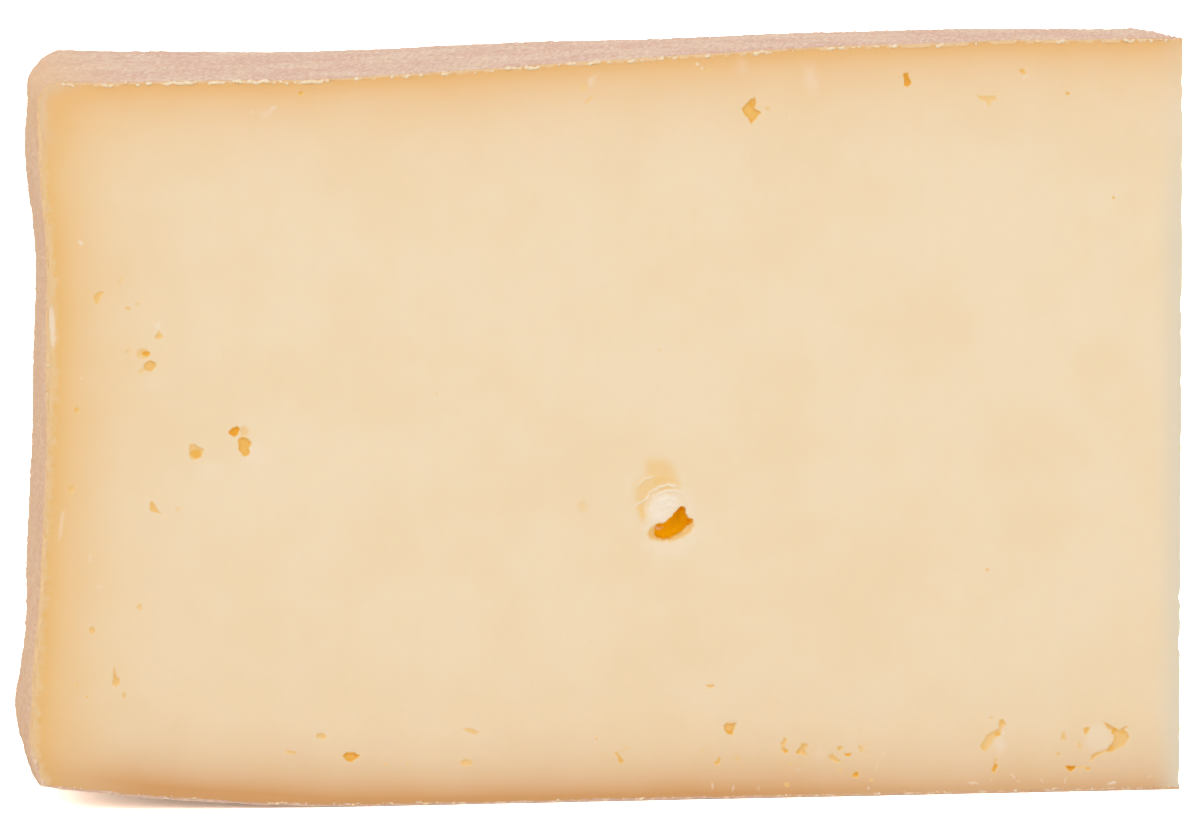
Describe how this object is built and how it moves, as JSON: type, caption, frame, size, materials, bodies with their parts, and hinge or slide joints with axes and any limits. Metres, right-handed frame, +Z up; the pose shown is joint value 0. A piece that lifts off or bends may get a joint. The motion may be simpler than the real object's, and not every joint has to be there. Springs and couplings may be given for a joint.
{
  "type": "semi-hard cheese wedge",
  "caption": "Narrow wedge slice of semi-hard cheese with its tip cut off: smooth cut faces with scattered eyes, and thin cloth-printed rind on top, heel and bottom.",
  "frame": {"origin": "middle of the slice's box, on the table it stands on", "axes": "+Z up along the wheel's axis; the wide front cut face looks to -Y; the rind heel is at -X and the tip cut at +X"},
  "size_m": [0.1258, 0.0438, 0.0821],
  "materials": {
    "paste": "ivory-yellow cheese, cut smooth, ochre beside the rind",
    "rind": "dry pinkish-beige rind with a fine cloth print"
  },
  "bodies": {
    "root": {"cheese_wedge": "paste"}
  },
  "joints": []
}
